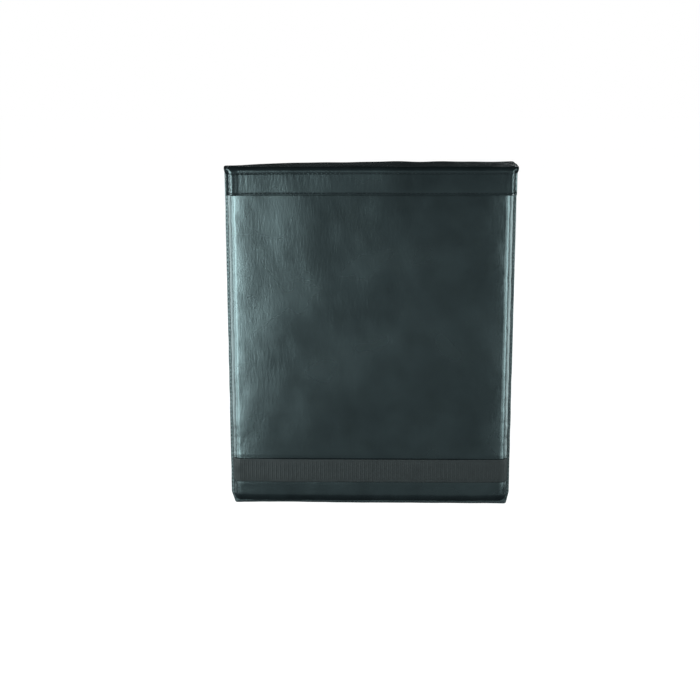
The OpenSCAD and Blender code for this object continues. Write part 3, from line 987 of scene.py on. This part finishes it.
def looped_path(start, bar, loop_r, tail, thickness):
    """A strap's middle line in its own plane: out at height 0, round the bar, and back for tail."""
    meet = bar - 8 * loop_r
    t = np.linspace(1, 0, 12)
    ease = np.stack([meet + (bar - meet) * t, thickness + (2 * loop_r - thickness) * smoothstep(t)], -1)
    turn = bend_path((bar, loop_r), loop_r, -90, 90)
    return np.concatenate([[(start, 0), (bar, 0)], turn, ease, [(bar - tail, thickness)]])


def make_belt_half(name, node, body, mirror, tail):
    """Half of the waist belt: from its side seam, along the back and round its buckle's bar."""
    lo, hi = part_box(node)
    bar = joint_at("waist_socket_pivot" if mirror else "waist_plug_pivot")
    run_y = bar.y - BELT_LOOP_R
    r = run_y - BACK_SEAM
    bar_x = -bar.x if mirror else bar.x
    strap = looped_path(-CORNER_X, bar_x, BELT_LOOP_R, tail, BELT_T)
    path = np.concatenate([bend_path((-CORNER_X, BACK_SEAM), r, 168, 90), strap + [0, run_y]])
    if mirror:
        path = path * [-1, 1]
    out_hint = (1 if mirror else -1, 0, 0)
    path = in_plan(path, (lo.z + hi.z) / 2)
    webbing(name, path, out_hint, (0, 0, 1), hi.z - lo.z, BELT_T, body, [node])


def make_neck_strap(name, node, body, side, tail):
    """A neck strap: folded over at its patch, hanging down the back and round its buckle's bar."""
    lo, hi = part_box(node)
    x = (lo.x + hi.x) / 2
    bar = joint_at("neck_plug_pivot" if side < 0 else "neck_socket_pivot")
    hinge = joint_at("neck_left_lift" if side < 0 else "neck_right_lift")
    run_y = bar.y - NECK_LOOP_R
    strap = looped_path(0, hinge.z - bar.z, NECK_LOOP_R, tail, NECK_T)
    fold_r, turn = 1.1 * MM, np.radians([-80, -40, 0, 45, 90])
    fold = fold_r * np.stack([-np.cos(turn), np.sin(turn) - 1], -1)
    path = np.concatenate([fold, strap])
    points = np.column_stack([np.full(len(path), x), run_y + path[:, 1], hinge.z - path[:, 0]])
    webbing(name, points, (0, 1, 0), (1, 0, 0), hi.x - lo.x, NECK_T, body, [node])


def make_keeper(name, node, body, along):
    """A woven elastic loop round both runs of a strap; along is the axis that it slides on."""
    lo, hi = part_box(node)
    centre, half = (lo + hi) / 2, (hi - lo) / 2
    width_axis = 2 if along == 0 else 0
    turn = np.linspace(0, 2 * math.pi, 97)[:-1]
    wide = np.sign(np.cos(turn)) * np.abs(np.cos(turn)) ** KEEPER_SQUARE
    deep = np.sign(np.sin(turn)) * np.abs(np.sin(turn)) ** (KEEPER_SQUARE * 2)
    steps = np.linspace(-1, 1, 29)
    rows = [(s, KEEPER_WALL * 0.16 * wave(s, 2 / 9)) for s in steps]
    rows += [(s, KEEPER_WALL - 0.05 * MM) for s in steps[::-1]]
    points = np.zeros((len(turn), len(rows), 3))
    for row, (s, inset) in enumerate(rows):
        points[:, row, along] = centre[along] + s * half[along]
        points[:, row, 1] = centre.y + (half.y - inset) * deep
        points[:, row, width_axis] = centre[width_axis] + (half[width_axis] - inset) * wide
    place(loft(name, points, ELASTIC, closed=True), body, [node])


make_belt_half("waist_webbing_long", "waist_strap_long", "waist_left", False, 145 * MM)
make_belt_half("waist_webbing_short", "waist_strap_short", "waist_right", True, 42 * MM)
make_neck_strap("neck_webbing_left", "neck_strap_left", "neck_left", -1, 118 * MM)
make_neck_strap("neck_webbing_right", "neck_strap_right", "neck_right", 1, 42 * MM)
make_keeper("waist_keeper_elastic", "waist_keeper_loop", "waist_keeper", 0)
make_keeper("neck_keeper_elastic", "neck_keeper_loop", "neck_keeper", 2)


# ---------- Patches, tapes and foam ----------

def stitch_line(a, b, up, pitch):
    """Stitch places from a to b on a flat face whose normal is up."""
    a, b = np.asarray(a, float), np.asarray(b, float)
    count = max(1, int(round(np.linalg.norm(b - a) / pitch)))
    share = (np.arange(count) + 0.5) / count
    centres = a + (b - a) * share[:, None]
    return centres, np.tile(b - a, (count, 1)), np.tile(up, (count, 1))


def stitched_lines(name, lines, up, pitch, radius, body):
    parts = [stitch_line(a, b, up, pitch) for a, b in lines]
    centres, ways, ups = (np.concatenate([p[k] for p in parts]) for k in range(3))
    thread_mesh(name, centres, ways, ups, pitch * 0.76, radius, body)


def box_and_cross(x0, x1, z0, z1, y):
    a, b, c, d = (x0, y, z0), (x1, y, z0), (x1, y, z1), (x0, y, z1)
    return [(a, b), (b, c), (c, d), (d, a), (a, c), (b, d)]


def face_grid(lo, hi, columns, rows):
    """A grid over the face of a box: x, z and the distance to the nearest edge."""
    x, z = np.meshgrid(np.linspace(lo.x, hi.x, columns), np.linspace(lo.z, hi.z, rows), indexing="ij")
    return x, z, np.minimum(np.minimum(x - lo.x, hi.x - x), np.minimum(z - lo.z, hi.z - z))


def make_patch(node):
    """A leather patch over the root of a neck strap: thin at its sewn edge and raised over the webbing."""
    lo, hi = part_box(node)
    x, z, edge = face_grid(lo, hi, 46, 52)
    inset = 3 * MM
    rise = 0.45 * MM * smoothstep(edge / (1.2 * MM)) - 0.35 * MM * bump(edge, inset, 0.9 * MM)
    rise += 0.3 * MM * smoothstep((edge - 4 * MM) / (5 * MM)) + 0.08 * MM * ripple(flat(x, z), 14 * MM, 91)
    points = np.stack([x, hi.y - 0.6 * MM + rise, z], -1)
    normals = np.zeros_like(points) + (0, 1, 0)
    obj = thick_sheet(node + "_leather", points, normals, LEATHER_T, LIP_LEATHER_PAINTED_LIGHT)
    place(obj, "pad", [node])
    lines = box_and_cross(lo.x + inset, hi.x - inset, lo.z + inset, hi.z - inset, hi.y - 0.12 * MM)
    stitched_lines(node + "_stitches", lines[:4], (0, 1, 0), 3.4 * MM, 0.33 * MM, "pad")


def make_tape(name, node, body, side, material, seed):
    """A hook or loop tape, its napped face towards side."""
    lo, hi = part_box(node)
    x, z, edge = face_grid(lo, hi, 260, 30)
    face = lo.y if side < 0 else hi.y
    nap = 0.12 * MM * ripple(flat(x, z), 2.6 * MM, seed, count=40)
    nap -= 0.25 * MM * (1 - smoothstep(edge / (1.5 * MM)))
    points = np.stack([x, face + side * (nap - 0.12 * MM), z], -1)
    normals = np.zeros_like(points) + (0, side, 0)
    place(thick_sheet(name, points, normals, (hi.y - lo.y) * 0.8, material), body, [node])


FOAM_SHY, FOAM_CHAMFER, FOAM_TOP_R = 0.7 * MM, 0.8 * MM, 3 * MM
FOAM_POINTS = 300


def foam_edge(y, way, r, rolled):
    """A foam layer's edge from its face at y inwards along way: (y, how far the outline is drawn in)."""
    if not rolled:
        return [(y, FOAM_CHAMFER), (y + way * FOAM_CHAMFER, 0.0)]
    turn = np.linspace(0, math.pi / 2, 9)
    return [(y + way * r * (1 - math.cos(t)), r * (1 - math.sin(t))) for t in turn]


def make_foam(name, node, front_roll, back_roll, material, seed):
    """A foam layer: the cover's outline, drawn in round the faces that lie in a rolled panel."""
    lo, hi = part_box(node)
    lo, hi = lo + Vector((0, FOAM_SHY * front_roll, 0)), hi - Vector((0, FOAM_SHY * back_roll, 0))
    inset = LEATHER_T + LAY_GAP + FOAM_SHY
    r = EDGE_R - inset
    w = HALF_W - inset
    rings = []
    for y, draw in foam_edge(lo.y, 1, r, front_roll) + foam_edge(hi.y, -1, r, back_roll)[::-1]:
        half, low, top = w - draw, BOTTOM_LIP + inset + draw, hi.z - 0.5 * draw
        corner = max(r - 0.6 * draw, 1.5 * MM)
        shoulder = top - FOAM_TOP_R
        line = np.concatenate([
            [(-half, shoulder), (-half, low + corner)],
            arc_points((-half + corner, low + corner), corner, 180, 270, 8), [(half - corner, low)],
            arc_points((half - corner, low + corner), corner, 270, 360, 8), [(half, shoulder)],
            arc_points((half - FOAM_TOP_R, shoulder), FOAM_TOP_R, 0, 90, 5),
            arc_points((-half + FOAM_TOP_R, shoulder), FOAM_TOP_R, 90, 180, 5),
        ])
        even, _ = resample(np.concatenate([line, line[:1]]), 5 * MM)
        s = np.linspace(0, 1, len(even))
        at = np.linspace(0, 1, FOAM_POINTS + 1)[:-1]
        x, z = (np.interp(at, s, even[:, k]) for k in (0, 1))
        p = np.stack([x, np.full(FOAM_POINTS, y), z], -1)
        dent = 0.25 * MM * (ripple(p, 22 * MM, seed) - 1.0)
        rings.append(p + unit(p - np.array([0, y, (low + top) / 2])) * dent[:, None])
    obj = loft(name, sunk(rings), material)
    place(obj, "pad", [node])


make_patch("neck_patch_left")
make_patch("neck_patch_right")
make_tape("loop_tape_nap", "loop_tape", "pad", -1, LOOP, 201)
make_tape("hook_tape_rows", "hook_tape", "flap_lip", 1, HOOK, 203)
make_foam("strike_foam_layer", "foam_strike_layer", True, False, STRIKE_FOAM, 301)
make_foam("core_foam_layer", "foam_core_layer", False, False, CORE_FOAM, 303)
make_foam("comfort_foam_layer", "foam_comfort_layer", False, True, COMFORT_FOAM, 305)


# ---------- Sewn ends of the straps, and the buckles ----------

def sewn_end(name, node, body, vertical):
    """Box and cross stitching where a strap is doubled back and sewn down."""
    lo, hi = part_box(node)
    if vertical:
        bar = joint_at("neck_socket_pivot")
        loop_r, thickness = NECK_LOOP_R, NECK_T
        sides = lo.x + 4 * MM, hi.x - 4 * MM, bar.z + 26 * MM, bar.z + 40 * MM
    else:
        bar = joint_at("waist_socket_pivot")
        loop_r, thickness = BELT_LOOP_R, BELT_T
        sides = bar.x + 27 * MM, bar.x + 40.5 * MM, lo.z + 4.5 * MM, hi.z - 4.5 * MM
    face = bar.y - loop_r + 1.5 * thickness + 0.1 * MM
    stitched_lines(name, box_and_cross(*sides, face), (0, 1, 0), 2.9 * MM, 0.30 * MM, body)


sewn_end("waist_end_stitches", "waist_strap_short", "waist_right", False)
sewn_end("neck_end_stitches", "neck_strap_right", "neck_right", True)


BUCKLE_EDGE, BUCKLE_WELD = 0.5 * MM, 0.01 * MM


def finish_buckle(node):
    """Moulded edges and nylon on a buckle piece that keeps its CAD shape."""
    obj = frame["nodes"][node]
    obj.data.materials.clear()
    obj.data.materials.append(PLASTIC)
    weld = obj.modifiers.new("weld", "WELD")
    weld.merge_threshold = BUCKLE_WELD
    bevel = obj.modifiers.new("moulded_edges", "BEVEL")
    bevel.width, bevel.segments, bevel.limit_method = BUCKLE_EDGE, 3, "ANGLE"
    bevel.angle_limit = math.radians(40)
    bevel.harden_normals = True


for buckle_node in ("waist_buckle_plug", "waist_prong_upper", "waist_prong_lower", "waist_buckle_socket",
                    "neck_buckle_plug", "neck_prong_left", "neck_prong_right", "neck_buckle_socket"):
    finish_buckle(buckle_node)
